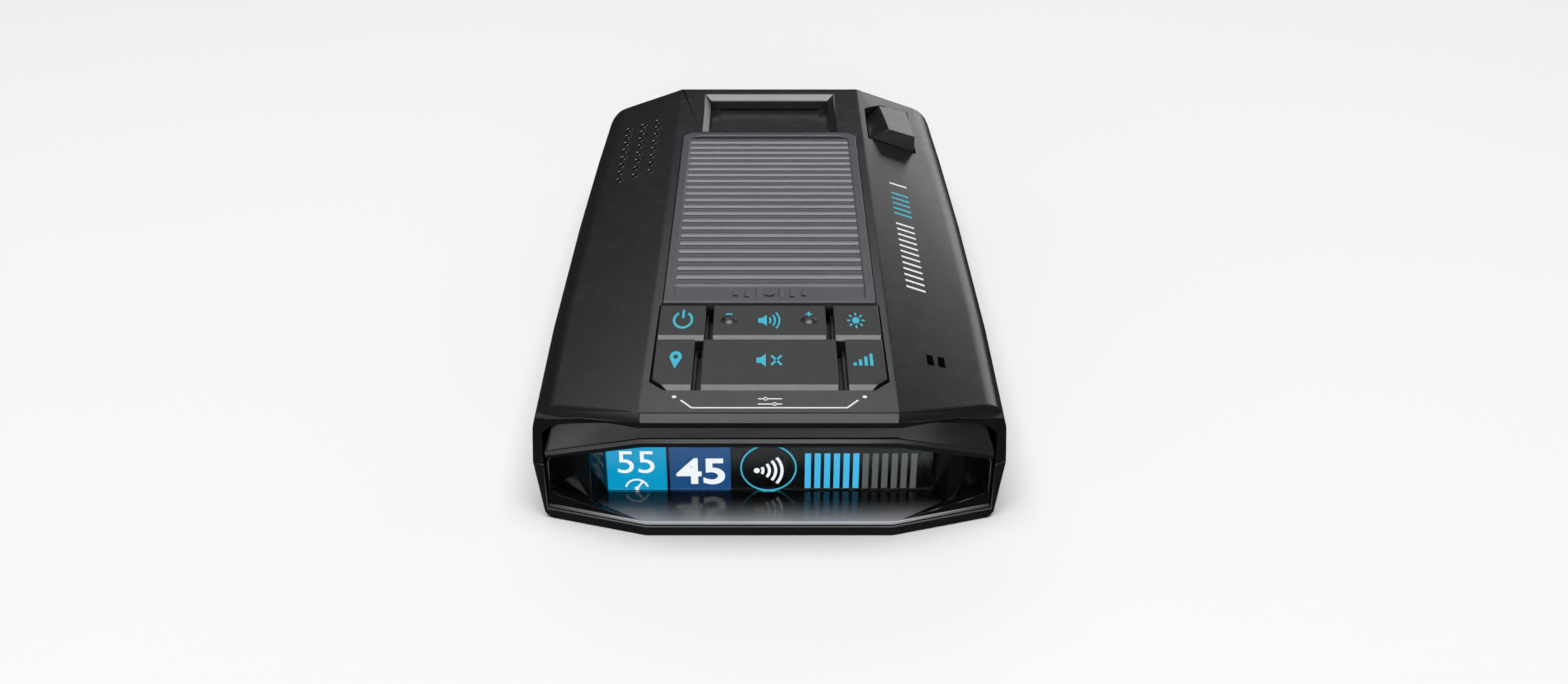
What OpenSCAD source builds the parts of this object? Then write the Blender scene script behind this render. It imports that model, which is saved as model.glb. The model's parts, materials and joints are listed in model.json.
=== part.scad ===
// Windscreen radar detector: a wedge-shouldered case with a hooded colour display, a key pad,
// a ridged antenna cover, a speaker grille and a magnetic mount pocket with a release lever.
// Millimetres. +Z is up, the display looks towards -Y and the windscreen end is at +Y.
// The origin is under the middle of the case, on the surface that the case stands on.

/* [Case] */
// Overall length, from the lip over the display to the windscreen end
body_l = 136; // [134:1:140]
// Width of the case at its widest point
body_w = 78; // [77:0.5:80]
// Height of the flat plateau on top of the case
body_h = 25; // [25:0.5:26]
// Half width of the plateau
plateau_hw = 20.2; // [20:0.1:20.4]
// Wall thickness of both case halves
wall = 1.8; // [1.7:0.1:1.8]
// Height of the parting line between the case halves
part_z = 10.8; // [10.8:0.1:11]

/* [Keys] */
// Half width of the whole key block
key_block_hw = 18.75; // [18.5:0.05:18.8]
// How far a key stands above the plateau
key_proud = 0.3; // [0.2:0.1:0.5]
// Gap between a key and the edge of its opening
key_gap = 0.3; // [0.25:0.05:0.35]

/* [Antenna cover] */
// Half width of the ridged cover
cover_hw = 18.45; // [18:0.05:18.6]
// Ridge count of the cover
ridge_n = 22; // [10:1:24]
// Height of the cover's rim above the plateau
cover_rise = 0.6; // [0.4:0.1:0.8]

/* [Mount pocket] */
// Half width of the mount pocket at its rim
pocket_hw = 14.7; // [14.5:0.1:14.7]
// Depth of the mount pocket below the plateau
pocket_depth = 3.5; // [3.2:0.1:3.5]

/* [Sockets] */
// Bore radius of the earphone socket
ear_r = 1.8; // [1.8:0.05:1.9]
// Width of the power socket's opening
power_w = 9.8; // [9:0.1:10]
// Height of the power socket's opening
power_h = 6.6; // [6:0.1:6.6]

/* [Hidden] */

$fn = 32;
eps = 0.01;

// Lengthwise stations
lip_y = -body_l / 2;
front_y = lip_y + 2;
rear_y = body_l / 2;
// Sweep of the front in plan, in millimetres back for each one outwards
front_sweep = 0.298;
// Roof slope of the shoulders, and the matching angle
shoulder_slope = 0.2257;
shoulder_deg = atan(shoulder_slope);
roll_steps = 6;
part_gap = 0.1;

// Display window
window_hw = 27.1;
window_z0 = 2.5;
window_z1 = 14.2;
lens_y = -57.6;

// Key block
key_top = body_h + key_proud;
row1_y0 = -45.2;
row1_y1 = -34.0;
row2_y0 = -60.6;
row2_y1 = -45.5;
key_corner = 2.4;
skirt_top = 22.9;
skirt_bottom = 21.9;
plate_top = 21.1;
plate_bottom = 19.6;
post_r = 1.1;
post_clear = 0.05;
stem_r = 1.3;
stem_bottom = 19.6;
key_board_z = 16.2;
key_board_t = 1.0;
rocker_z = 20.6;
rocker_pin_r = 0.7;
rocker_pin_y = -35.3;

// Antenna cover
cover_y0 = -33.6;
cover_y1 = 41;
cover_seat_z = body_h - 0.8;

// Mount pocket
pocket_y0 = 43;
pocket_y1 = 65;
pocket_floor = body_h - pocket_depth;
pocket_chamfer = 1.5;
pocket_chamfer_h = 1.2;
// Raised landing pad on the pocket's floor
pad_hw = 11.2;
pad_h = 0.3;

// Release lever, laid out in a frame that lies on the right shoulder
lever_x = 28.2;
lever_hw = 2.95;
lever_y1 = 60.3;
lever_pivot_y = 59.1;
lever_pivot_z = 20.3;
lever_pin_r = 0.9;
// Sweep of the lever's front, in millimetres back for each one towards the middle
lever_sweep = 0.304;
lever_gap = 0.3;
well_x0 = 21.4;
well_x1 = 31.4;
well_y0 = 37.0;
well_y1 = 61;
well_floor = 16.3;
well_wall = 1.1;

// Latch, moved by a foot of the lever that slides down its ramp
latch_y0 = 45.2;
latch_y1 = 48.8;
// Sideways run of the ramp for each millimetre of drop
ramp_run = 0.745;
ramp_top_z = 20.1;
ramp_top_x = 28.56;
ramp_gap = 0.4;

// Speaker grille
grille_x0 = -24.8;
grille_dx = -3.2;
grille_y0 = 51.1;
grille_dy = -3.8;
grille_r = 0.6;
speaker_x = -27.6;
speaker_y = 37.8;

// Boards and screws
board_z = 8.0;
board_t = 1.6;
screw_r = 1.25;
screw_spots = [[-32, -36], [32, -36], [-29, 60], [29, 60]];
board_screw_spots = [[-30, 21], [10, 21]];

// Horn and laser
horn_x = 6;
horn_split = 9;
horn_y0 = 28;
horn_y1 = 63.6;
laser_x = -13;
laser_z = 11.5;
end_hw = 18.6;
end_z0 = 4;
end_z1 = 19.5;

// Sockets on the right side
power_y = 6.5;
usb_y = 17;
ear_y = 24.3;
socket_z = 6.1;

// ---------- Helpers ----------

// Height of a shoulder's roof at a distance from the middle plane
function shoulder_z(x) = body_h - shoulder_slope * (abs(x) - plateau_hw);

// Half width of the case at the parting line, with a slight barrel towards both ends
function half_width(y) = body_w / 2 - 1.7 * pow(max(0, y + 30) / 90, 2)
  - 0.4 * pow(max(0, -y - 30) / 30, 2);

function bez(a, b, c, t) = (1 - t) * (1 - t) * a + 2 * t * (1 - t) * b + t * t * c;

// Rounded roll between the side wall and the shoulder
function roll(w, i) = [for (k = [0:roll_steps])
  bez([w - 0.4 - i, 16.5], [w - 0.5 - i, 20.8 - i], [w - 4.2 - i, 21.75 - i], k / roll_steps)];

// Right half of the cross section, inset by i
function right_half(w, i) = concat([[w - 2.3 - i, i], [w - 1.3 - i, i + 0.9], [w - i, part_z]],
  roll(w, i), [[plateau_hw - 0.1 * i, body_h - i]]);

function mirrored(points) = [for (k = [len(points) - 1:-1:0]) [-points[k][0], points[k][1]]];

module section(w, i) polygon(concat(right_half(w, i), mirrored(right_half(w, i))));

// Both case halves together as one convex form, inset by i, longer than the case at both ends
module body_form(i) {
  hull() {
    for (y = [lip_y - 6, -60, -30, 8, 40, 60, rear_y + 4]) {
      translate([0, y, 0]) rotate([90, 0, 0]) linear_extrude(eps) section(half_width(y), i);
    }
  }
}

// Right half of the plan outline: swept front, rounded rear corner, swept rear
function plan_half(i) = concat(
  [[plateau_hw, front_y + i], [50, front_y + i + (50 - plateau_hw) * front_sweep], [50, 58 - i]],
  [for (k = [0:roll_steps])
    bez([37.6 - i, 58 - i], [36.7 - i, 63.3 - i], [33.2 - i, 64.4 - i], k / roll_steps)],
  [[19.7, rear_y - i]]);

module plan(i) polygon(concat(plan_half(i), mirrored(plan_half(i))));

// Straight band that follows the swept front between two depths behind it
module front_band(d0, d1, hw) {
  reach = (hw - plateau_hw) * front_sweep;
  polygon([[-hw, front_y + d0 + reach], [-plateau_hw, front_y + d0], [plateau_hw, front_y + d0],
    [hw, front_y + d0 + reach], [hw, front_y + d1 + reach], [plateau_hw, front_y + d1],
    [-plateau_hw, front_y + d1], [-hw, front_y + d1 + reach]]);
}

// Solid between matching rings of points
module loft(rings) {
  n = len(rings[0]);
  m = len(rings);
  sides = [for (r = [0:m - 2], k = [0:n - 1])
    each [[r * n + k, r * n + (k + 1) % n, (r + 1) * n + (k + 1) % n],
      [r * n + k, (r + 1) * n + (k + 1) % n, (r + 1) * n + k]]];
  caps = [[for (k = [n - 1:-1:0]) k], [for (k = [0:n - 1]) (m - 1) * n + k]];
  polyhedron(points = [for (r = rings, p = r) p], faces = concat(sides, caps));
}

module box(x0, x1, y0, y1, z0, z1) translate([x0, y0, z0]) cube([x1 - x0, y1 - y0, z1 - z0]);

module rounded_rect(w, d, r) {
  square([w - 2 * r, d], center = true);
  square([w, d - 2 * r], center = true);
  for (sx = [-1, 1], sy = [-1, 1]) {
    translate([sx * (w / 2 - r), sy * (d / 2 - r)]) circle(r);
  }
}

module stadium(w, l) {
  square([w, l - w], center = true);
  for (s = [-1, 1]) translate([0, s * (l - w) / 2]) circle(w / 2, $fn = 48);
}

module along_y(y0, y1) translate([0, y1, 0]) rotate([90, 0, 0]) linear_extrude(y1 - y0) children();

// Frame whose XY plane lies on a shoulder's roof at x
module on_shoulder(x, y) {
  translate([x, y, shoulder_z(x)]) rotate([0, sign(x) * shoulder_deg, 0]) children();
}

// ---------- Case ----------

// Display opening in the front wall, seen from the front
function hood_outline(g) = [[-36.7, 10], [-36.7, 13.1], [-36.3 - g, 17.0], [-34.2, 18.9 + g],
  [-20.3, 22.0 + g], [20.3, 22.0 + g], [34.2, 18.9 + g], [36.3 + g, 17.0], [36.7, 13.1],
  [36.7, 10]];

lip_hw = 35.2;
lip_sweep = 0.5;
// Chamfer along the lip's top edge: how far it runs back, and how far down
lip_chamfer = 0.6;
lip_chamfer_h = 1.5;

// What the chamfer takes off an edge along +X, whose corner is at the origin
module lip_cut() {
  rotate([90, 0, 90]) translate([0, 0, -25]) linear_extrude(50) polygon([[-5, -lip_chamfer_h],
    [0, -lip_chamfer_h], [lip_chamfer, 0], [2 * lip_chamfer, lip_chamfer_h], [-5, lip_chamfer_h]]);
}

module lip_form() {
  lip_end = lip_y + (lip_hw - plateau_hw) * lip_sweep;
  intersection() {
    translate([0, 0, 18]) linear_extrude(12) polygon([[-lip_hw, lip_end], [-plateau_hw, lip_y],
      [plateau_hw, lip_y], [lip_hw, lip_end], [lip_hw, lip_end + 5], [plateau_hw, lip_y + 5],
      [-plateau_hw, lip_y + 5], [-lip_hw, lip_end + 5]]);
    along_y(lip_y - 1, -54) polygon([[-36, 20.1], [-20.3, 22.5], [20.3, 22.5], [36, 20.1],
      [36, 30], [-36, 30]]);
  }
}

module upper_skin() {
  difference() {
    intersection() {
      body_form(0);
      union() {
        translate([0, 0, part_z + part_gap]) linear_extrude(20) plan(0);
        lip_form();
      }
    }
    intersection() {
      body_form(wall);
      translate([0, 0, -1]) linear_extrude(30) plan(wall);
    }
    along_y(lip_y, -56) polygon(hood_outline(0.25));
    translate([0, lip_y, body_h]) lip_cut();
    for (s = [0, 1]) mirror([s, 0, 0]) translate([plateau_hw, lip_y, body_h]) {
      rotate([0, shoulder_deg, 0]) rotate(atan(lip_sweep)) translate([25, 0, 0]) lip_cut();
    }
  }
}

module grille_holes() {
  for (c = [0:2], r = [0:7]) {
    translate([grille_x0 + c * grille_dx, grille_y0 - c * 0.7 + r * grille_dy, 17])
      cylinder(r = grille_r, h = 10, $fn = 24);
  }
}

module pocket_tub() {
  box(-pocket_hw - 0.5, pocket_hw + 0.5, pocket_y0 - 0.8, rear_y - 1.7, pocket_floor - 1.5,
    body_h - wall + 0.1);
}

module pocket_space() {
  rim_z = body_h - pocket_chamfer_h;
  inner_hw = pocket_hw - pocket_chamfer;
  y0 = pocket_y0 + pocket_chamfer;
  y1 = pocket_y1 - pocket_chamfer;
  difference() {
    box(-inner_hw, inner_hw, y0, y1, pocket_floor, body_h);
    box(-pad_hw, pad_hw, y0 + 0.7, y1 - 0.7, pocket_floor - 1, pocket_floor + pad_h);
  }
  hull() {
    box(-inner_hw, inner_hw, y0, y1, rim_z, rim_z + eps);
    box(-pocket_hw, pocket_hw, pocket_y0, pocket_y1, body_h, body_h + eps);
  }
}

module well_outline(grow) {
  front_left = well_y0 + (well_x1 - well_x0) * lever_sweep;
  polygon([[well_x0 - grow, front_left - grow * 0.7], [well_x1 + grow, well_y0 - grow * 1.3],
    [well_x1 + grow, well_y1 + grow], [well_x0 + 3.8 - grow * 0.4, well_y1 + grow],
    [well_x0 - grow, well_y1 - 4 + grow * 0.4]]);
}

module upper_shell() color("#1a1b1d") {
  roof = body_h - wall;
  difference() {
    union() {
      upper_skin();
      pocket_tub();
      // Lever well, cut to the shape of the shoulder above it
      intersection() {
        translate([0, 0, well_floor - 1.2]) linear_extrude(12) well_outline(well_wall);
        along_y(30, 66) polygon([[15, 10], [37, 10], [36, 20.4], [34, 21.4],
          [plateau_hw, roof + 0.4], [15, roof + 0.4]]);
      }
      // Screw bosses that hang from the roof, and posts for the positioning board
      for (p = screw_spots) {
        boss_top = p[1] > 0 ? (p[0] > 0 ? well_floor : 20.6) : 20.8;
        translate([p[0], p[1], board_z + board_t]) cylinder(r = 2.8, h = boss_top - board_z - board_t);
      }
      for (x = [-14, 14], y = [1.5, 28.5]) {
        translate([x, y, 18]) cylinder(r = 1.3, h = roof - 18 + 0.1);
      }
    }
    for (p = screw_spots) translate([p[0], p[1], 5]) cylinder(r = screw_r + 0.05, h = 9.2);
    pocket_space();
    translate([0, 0, well_floor]) linear_extrude(12) well_outline(0);
    // Seat of the antenna cover, with a cable slot under it
    box(-cover_hw - 0.1, cover_hw + 0.1, cover_y0 - 0.1, cover_y1 + 0.1, cover_seat_z, body_h + 1);
    box(-3, 3, 20, 24, roof - 1, body_h);
    // Key opening
    translate([0, 0, roof - 1]) linear_extrude(5) key_block(key_gap);
    grille_holes();
    // Two slots over the light pipe
    for (x = [26.5, 28.4]) {
      translate([x, -49.6, 18]) linear_extrude(10) rounded_rect(1.1, 3.3, 0.3);
    }
    // Magnet seats in the underside of the pocket floor
    for (x = [-7, 7]) translate([x, 54, pocket_floor - 2]) cylinder(r = 4.1, h = 1.3);
    // Passages of the latch through the pocket's wall and the well's wall
    box(12, 17, latch_y0 - 0.2, latch_y1 + 0.2, pocket_floor + 0.2, pocket_floor + 1.8);
    box(19, 22, latch_y0 - 0.2, latch_y1 + 0.2, well_floor + 0.1, well_floor + 1.5);
    // Seat of the lever's pin
    translate([20.9, lever_pivot_y, lever_pivot_z]) rotate([0, 90, 0]) cylinder(r = lever_pin_r, h = 11.2);
    // Opening for the end window
    box(-end_hw, end_hw, rear_y - 2.5, rear_y + 1, 0, end_z1);
  }
}

module lower_shell() color("#151618") {
  difference() {
    union() {
      difference() {
        intersection() {
          body_form(0);
          translate([0, 0, -1]) linear_extrude(1 + part_z - part_gap) plan(0);
        }
        intersection() {
          body_form(wall);
          translate([0, 0, wall]) linear_extrude(30) plan(wall);
        }
      }
      for (p = screw_spots) {
        top = p[1] > 0 ? board_z + board_t : board_z;
        translate([p[0], p[1], 1]) cylinder(r = 3.4, h = top - 1);
      }
      for (p = board_screw_spots) translate([p[0], p[1], 1]) cylinder(r = 2.2, h = board_z - 1);
      for (x = [-4.5, 16.5], y = [32, 58]) translate([x, y, 1]) cylinder(r = 2, h = 2.2);
    }
    // Mouth of the display funnel
    along_y(lip_y, -56) polygon([[-36.7, wall], [36.7, wall], [36.7, 14], [-36.7, 14]]);
    // Screw wells from below
    for (p = screw_spots) {
      translate([p[0], p[1], -1]) cylinder(r = 2.7, h = 3.6);
      translate([p[0], p[1], 0]) cylinder(r = screw_r + 0.2, h = 12);
    }
    for (p = board_screw_spots) translate([p[0], p[1], 3.5]) cylinder(r = 1.05, h = 9);
    // Socket openings in the right wall
    box(34, 42, power_y - power_w / 2, power_y + power_w / 2, socket_z - power_h / 2,
      socket_z + power_h / 2);
    box(34, 42, usb_y - 4, usb_y + 4, socket_z - 1.7, socket_z + 1.7);
    translate([34, ear_y, socket_z]) rotate([0, 90, 0]) cylinder(r = 3.1, h = 8);
    box(-end_hw, end_hw, rear_y - 2.5, rear_y + 1, end_z0, 20);
    // Label recess
    box(-24, 24, -18, 10, -1, 0.35);
  }
}

// Brow above the display, swept like the front
module display_hood() color("#232427") {
  // Ring order: lip line, top front, top back, bottom back, bottom front
  side = [[36.5, -61.2, 13.1], [35.0, -60.0, 18.0], [35.0, -56.6, 18.0], [36.5, -57.8, 11.6],
    [36.5, -60.9, 11.5]];
  mid = [[20.3, front_y - 0.2, 19.0], [20.3, -64.2, 21.9], [20.3, -62.4, 21.9], [20.3, -62.6, 17.6],
    [20.3, -65.7, 17.1]];
  loft([[for (p = side) [-p[0], p[1], p[2]]], [for (p = mid) [-p[0], p[1], p[2]]], mid, side]);
}

// Glossy funnel round the window: floor, splayed jambs, cheeks, ceiling and corner facets
module display_bezel() color("#0d0e10") {
  floor_top = window_z0;
  back_y = -56.4;
  translate([0, 0, wall + 0.05]) linear_extrude(floor_top - wall - 0.05) intersection() {
    front_band(0.4, 12, 36.5);
    translate([-40, -70]) square([80, 70 + back_y]);
  }
  intersection() {
    translate([0, 0, floor_top - eps]) linear_extrude(14) for (s = [0, 1]) mirror([s, 0]) {
      polygon([[window_hw, lens_y], [29.4, -61.4], [35.0, -57.7], [36.0, -60.9], [36.5, -60.7],
        [36.5, back_y], [window_hw, back_y]]);
    }
    along_y(-70, -50) polygon([[-37, 0], [37, 0], [37, 10.9], [20.3, 16.9], [-20.3, 16.9],
      [-37, 10.9]]);
  }
  // Ceiling behind the hood. Ring order: front bottom, front top, back top, back bottom, lens line
  ceil_mid = [[20.2, -62.4, 16.5], [20.2, -62.4, 17.3], [20.2, back_y, 15.6],
    [20.2, back_y, window_z1 + 0.1], [20.2, lens_y, window_z1 + 0.1]];
  ceil_side = [[28.4, -59.4, 13.1], [28.4, -59.4, 13.6], [28.4, back_y - 0.1, 13.6],
    [28.4, back_y - 0.1, 13.0], [28.4, lens_y, 13.0]];
  loft([[for (p = ceil_side) [-p[0], p[1], p[2]]], [for (p = ceil_mid) [-p[0], p[1], p[2]]],
    ceil_mid, ceil_side]);
  for (s = [0, 1]) mirror([s, 0, 0]) hull() {
    translate([0, 0, floor_top - 0.1]) linear_extrude(0.1 + eps) polygon([[21, -65.3], [29.4, -61.4],
      [35.0, -57.7], [36.4, -57.7], [36.4, -60.7]]);
    box(36.2, 36.4, -60.6, -57.8, 4.4, 4.8);
  }
}

module display_lens() color("#20303a", 0.5) {
  box(-window_hw + 0.1, window_hw - 0.1, lens_y, lens_y + 0.6, window_z0 + 0.1, window_z1 - 1.6);
}

module lcd_panel() color("#10151c") {
  box(-window_hw + 0.1, window_hw - 0.1, lens_y + 0.7, lens_y + 2.2, window_z0 + 0.1, window_z1 - 1.6);
}

module lcd_backlight() color("silver") {
  box(-29, 29, -55.3, -52.7, 2.1, 15.2);
}

// Ribbon from the back of the display to the main board
module lcd_flex() color("#b8752a") {
  box(-7, 7, -52.6, -52.45, 5, 10.4);
  box(-7, 7, -52.6, -46.2, 10.4, 10.55);
}

// Waved ridges of the cover, as a profile along the case
ridge_span = 66.2;
ridge_y0 = -27.3;
ridge_pts = 6;
function ridge_y(t) = cover_y1 - 1.9 - (2.55 * t + 0.0185 * t * t) * ridge_span / 65.05;
function ridge_profile() = [for (k = [0:ridge_n * ridge_pts])
  let (t = k / ridge_pts) [ridge_y(t), body_h + 0.35 - 0.55 * pow(abs(cos(180 * t)), 6)]];

module cover_plan(g) {
  hw = cover_hw - g;
  y1 = cover_y1 - g;
  polygon([[-hw, cover_y0 + g], [hw, cover_y0 + g], [hw, y1 - 1.6], [hw - 1.6, y1], [1.6 - hw, y1],
    [-hw, y1 - 1.6]]);
}

module gps_cover() color("#6a6b6e") {
  rim = 1.7;
  rim_z = body_h + cover_rise;
  floor_z = body_h + 0.1;
  difference() {
    translate([0, 0, cover_seat_z + 0.02]) linear_extrude(rim_z - cover_seat_z - 0.02) cover_plan(0);
    translate([0, 0, floor_z]) linear_extrude(5) cover_plan(rim);
    translate([0, 0, body_h - 0.2]) linear_extrude(5) intersection() {
      cover_plan(rim);
      translate([-30, ridge_y0]) square([60, 80]);
    }
  }
  intersection() {
    translate([-cover_hw + rim, 0, 0]) rotate([90, 0, 90]) linear_extrude(2 * (cover_hw - rim)) {
      polygon(concat([[ridge_y(ridge_n), body_h - 0.3], [ridge_y(0), body_h - 0.3]], ridge_profile()));
    }
    translate([0, 0, 20]) linear_extrude(10) cover_plan(rim);
  }
  // Raised glyph on the flat strip: a dot between bars that get shorter outwards
  translate([0, -29.9, floor_z]) {
    cylinder(r = 0.9, h = 0.25);
    for (s = [-1, 1], k = [1:3]) {
      translate([s * k * 2.0, 0, 0.125]) cube([0.9, 4.1 - k * 0.9, 0.25], center = true);
    }
  }
}

module gps_antenna() color("#c9bd9a") {
  difference() {
    box(-12.5, 12.5, 2.5, 27.5, 18.02, 22);
    translate([0, 15, 21.8]) linear_extrude(1) difference() {
      square(22, center = true);
      square(20, center = true);
    }
  }
}

module gps_board() color("#14532d") box(-15.6, 15.6, 0, 30, 16.9, 17.98);

module main_board() color("#0f4a2a") {
  difference() {
    translate([0, 0, board_z]) linear_extrude(board_t) polygon([[-35, -51.5], [35, -51.5], [35, -0.2],
      [24, -0.2], [24, 27.4], [-35, 27.4]]);
    for (p = screw_spots) translate([p[0], p[1], board_z - 1]) cylinder(r = 1.6, h = 4);
    for (p = board_screw_spots) translate([p[0], p[1], board_z - 1]) cylinder(r = 1.2, h = 4);
  }
}

// Square chip with leads along its sides
module chip(w, h, leads) {
  translate([0, 0, h / 2 + 0.1]) cube([w, w, h - 0.1], center = true);
  for (a = [0, 90, 180, 270], k = [0:leads - 1]) {
    rotate(a) translate([w / 2 + 0.4, (k - (leads - 1) / 2) * w / leads * 0.9, 0.15])
      cube([0.9, 0.4, 0.25], center = true);
  }
}

module processor() color("#18191b") translate([-4, -14, board_z + board_t]) chip(14, 1.5, 12);

module memory_chip() color("#18191b") translate([13, -14, board_z + board_t]) chip(8, 1.1, 6);

module bluetooth_module() color("silver") {
  difference() {
    box(-33, -21, -20, -4, board_z + board_t, board_z + board_t + 2.2);
    box(-32.7, -21.3, -19.7, -4.3, board_z + board_t - 1, board_z + board_t + 1.9);
  }
}

module backup_capacitor() color("#d9b23c") {
  translate([-26, 8, board_z + board_t + 4.1]) rotate([0, 90, 0]) cylinder(r = 4.05, h = 12, center = true);
}

module capacitors() color("#9aa0a6") {
  for (p = [[18, -30, 2.4], [25, -30, 2.4], [18, -38, 2.0], [-20, -30, 2.4], [-26, -24.5, 1.8]]) {
    translate([p[0], p[1], board_z + board_t]) cylinder(r = p[2], h = p[2] * 2.2);
  }
}

module board_connectors() color("ivory") {
  z = board_z + board_t;
  box(-8, 8, -50.5, -46.6, z, z + 0.75);
  box(-34, -29, 14, 17.6, z, z + 3.5);
  box(-6, 6, -27, -23.5, z, z + 4.5);
  box(-2, 10, 23.8, 27, z, z + 3.6);
}

module light_sensor() color("#2b2b2e") {
  box(25.6, 29.4, -51.3, -47.9, board_z + board_t, board_z + board_t + 1.0);
}

// Clear guide from the two slots down to the light sensor
module light_pipe() color("white", 0.6) {
  translate([27.45, -49.6, 0]) {
    difference() {
      translate([0, 0, 11.2]) linear_extrude(9.7) rounded_rect(3.4, 3.0, 0.5);
      translate([0, 0, 20.4]) rotate([0, shoulder_deg, 0]) translate([0, 0, 5.2])
        cube([10, 10, 10], center = true);
    }
  }
}

module key_board() color("#14532d") {
  box(-19.2, 19.2, -55.5, -35, key_board_z, key_board_z + key_board_t);
}

// Where each key's stem meets its switch
switch_spots = [[-14.8, -39.6], [-6, -39.6], [6, -39.6], [14.9, -39.6], [-15.5, -52], [0, -52],
  [15.6, -52]];

module key_switches() color("#c8ccd0") {
  z = key_board_z + key_board_t;
  for (p = switch_spots) {
    translate([p[0], p[1], z + 0.6]) cube([4, 4, 1.2], center = true);
    translate([p[0], p[1], z + 1.2]) cylinder(r = 0.9, h = 0.6);
  }
}

module key_leds() color("#dff6ff") {
  for (p = [[-11, -44], [0, -44], [11, -44], [-8, -54], [8, -54]]) {
    translate([p[0], p[1], key_board_z + key_board_t + 0.35]) cube([1.6, 0.8, 0.7], center = true);
  }
}

// ---------- Keys ----------

module key_block(g) {
  hw = key_block_hw + g;
  y0 = row2_y0 - g;
  y1 = row1_y1 + g;
  polygon([[-hw, y1], [hw, y1], [hw, y0 + key_corner], [hw - key_corner, y0],
    [key_corner - hw, y0], [-hw, y0 + key_corner]]);
}

// Face edges of the keys in a row, from left to right
power_x = [-key_block_hw, -10.9];
volume_x = [-9.55, 9.6];
bright_x = [11, key_block_hw];
mark_x = [-key_block_hw, -12.4];
mute_x = [-10.95, 11];
sens_x = [12.55, key_block_hw];

module key_face(x, y0, y1) {
  intersection() {
    key_block(0);
    translate([x[0], y0]) square([x[1] - x[0], y1 - y0]);
  }
}

// Cap with bevelled long edges, above the skirt
module key_cap(x, y0, y1) {
  bevel = 0.9;
  drop = 0.7;
  intersection() {
    translate([0, 0, skirt_top - 0.1]) linear_extrude(key_top - skirt_top + 0.1) key_face(x, y0, y1);
    rotate([90, 0, 90]) translate([0, 0, -30]) linear_extrude(60) polygon([[y0, 20],
      [y1, 20], [y1, key_top - 0.2], [y1 - 0.3, key_top], [y0 + bevel, key_top],
      [y0, key_top - drop]]);
  }
}

// Sliding key: cap, retaining skirt, two guide posts and a stem over its switch
module key_body(x, y0, y1, cell, switch, posts) {
  key_cap(x, y0, y1);
  translate([0, 0, skirt_bottom]) linear_extrude(skirt_top - skirt_bottom) intersection() {
    key_block(0.9);
    translate([cell[0], cell[2]]) square([cell[1] - cell[0], cell[3] - cell[2]]);
  }
  for (p = posts) translate([p[0], p[1], 19.0]) cylinder(r = post_r, h = skirt_bottom - 19.0 + 0.1);
  translate([switch[0], switch[1], stem_bottom]) cylinder(r = stem_r, h = skirt_bottom - stem_bottom + 0.1);
}

power_posts = [[-14.8, -43.4], [-14.8, -35.9]];
bright_posts = [[14.9, -43.4], [14.9, -35.9]];
mark_posts = [[-15.5, -57], [-15.5, -47.2]];
mute_posts = [[-7, -52], [7, -52]];
sens_posts = [[15.6, -57], [15.6, -47.2]];

module key_power() color("#141517") {
  key_body(power_x, row1_y0, row1_y1, [-25, -10.4, row1_y0, -30], switch_spots[0], power_posts);
}

module key_brightness() color("#141517") {
  key_body(bright_x, row1_y0, row1_y1, [10.5, 25, row1_y0, -30], switch_spots[3], bright_posts);
}

module key_mark() color("#141517") {
  key_body(mark_x, row2_y0, row2_y1, [-25, -11.9, -70, row2_y1], switch_spots[4], mark_posts);
}

module key_mute() color("#141517") {
  key_body(mute_x, row2_y0, row2_y1, [-11.4, 11.4, -70, row2_y1], switch_spots[5], mute_posts);
}

module key_sensitivity() color("#141517") {
  key_body(sens_x, row2_y0, row2_y1, [12.0, 25, -70, row2_y1], switch_spots[6], sens_posts);
}

// Rocker that tips about a pin under its middle
module key_volume() color("#141517") {
  lug_hw = 1.5;
  difference() {
    union() {
      key_cap(volume_x, row1_y0, row1_y1);
      translate([0, 0, skirt_bottom]) linear_extrude(skirt_top - skirt_bottom)
        key_face(volume_x, row1_y0, row1_y1);
      box(-lug_hw, lug_hw, -42.5, -37, rocker_z - 1.5, skirt_bottom + 0.1);
      for (k = [1, 2]) {
        translate([switch_spots[k][0], switch_spots[k][1], stem_bottom - 0.1])
          cylinder(r = stem_r, h = skirt_bottom - stem_bottom + 0.2);
      }
    }
    translate([0, -30, rocker_z]) rotate([90, 0, 0]) cylinder(r = rocker_pin_r + post_clear, h = 14);
  }
}

module volume_pin() color("silver") {
  translate([0, rocker_pin_y, rocker_z]) rotate([90, 0, 0]) cylinder(r = rocker_pin_r, h = 9);
}

// Plate under the keys with guide bores, and ears for the rocker's pin
module key_frame() color("#2a2b2e") {
  ear_top = 21.5;
  difference() {
    union() {
      box(-21, 21, -62, -33, plate_bottom, plate_top);
      for (y = [-45, -36.5]) box(-1.9, 1.9, y, y + 2, plate_bottom, ear_top);
    }
    for (p = concat(power_posts, bright_posts, mark_posts, mute_posts, sens_posts)) {
      translate([p[0], p[1], 10]) cylinder(r = post_r + post_clear, h = 20);
    }
    for (p = switch_spots) translate([p[0], p[1], 10]) cylinder(r = stem_r + 0.6, h = 20);
    box(-2.1, 2.1, -43.0, -36.5, 10, 30);
    translate([0, rocker_pin_y, rocker_z]) rotate([90, 0, 0]) cylinder(r = rocker_pin_r, h = 9);
  }
}

// ---------- Radio and laser ----------

module horn_space() {
  hull() {
    box(horn_x - 10.5, horn_x + 10.5, horn_y1, horn_y1 + eps, 4.7, 13.3);
    box(horn_x - 5.35, horn_x + 5.35, 38, 38 + eps, 6.9, 11.1);
  }
  box(horn_x - 5.35, horn_x + 5.35, 30.5, 38.1, 6.9, 11.1);
}

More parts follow.
